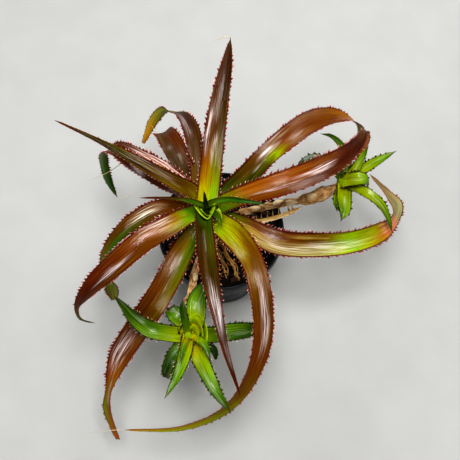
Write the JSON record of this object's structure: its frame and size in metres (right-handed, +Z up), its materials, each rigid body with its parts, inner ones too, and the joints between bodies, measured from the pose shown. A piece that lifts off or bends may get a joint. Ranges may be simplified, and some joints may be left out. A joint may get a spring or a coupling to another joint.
{
  "type": "potted bromeliad",
  "caption": "Rosette of long toothed strap leaves on a short stem in a round nursery pot, with young offsets on woody runners.",
  "frame": {"origin": "middle of the pot's base, on the face that it rests on", "axes": "+Z up along the pot's axis; +Y towards the upright leaf at the back; +X towards the right offset"},
  "size_m": [0.2904, 0.2877, 0.2266],
  "materials": {
    "leaf_copper": "glossy living leaf, olive gold at the base to copper red at the edges",
    "leaf_young": "glossy yellow green young leaf",
    "leaf_offset": "glossy bright green leaf with dark teeth",
    "runner_bark": "dry tan scaly bark",
    "root_fibre": "dry tan root",
    "straw": "dry papery dead leaf",
    "bark_mix": "moist dark bark and peat",
    "pot_plastic": "black moulded polypropylene with a slight sheen"
  },
  "bodies": {
    "root": {"heart_left": "leaf_young", "heart_low": "leaf_young", "heart_right": "leaf_young", "heart_up": "leaf_young", "leaf_01": "leaf_copper", "leaf_02": "leaf_copper", "leaf_03": "leaf_copper", "leaf_04": "leaf_copper", "leaf_05": "leaf_copper", "leaf_06": "leaf_copper", "leaf_07": "leaf_copper", "leaf_08": "leaf_copper", "leaf_09": "leaf_copper", "leaf_10": "leaf_copper", "leaf_11": "leaf_copper", "leaf_12": "leaf_copper", "leaf_13": "leaf_copper", "offset_front": "leaf_offset", "offset_right": "leaf_offset", "old_leaf_right": "straw", "pot": "pot_plastic", "root_1": "root_fibre", "root_2": "root_fibre", "root_3": "root_fibre", "runner_front": "runner_bark", "runner_right": "runner_bark", "soil": "bark_mix", "stem": "runner_bark"}
  },
  "joints": []
}
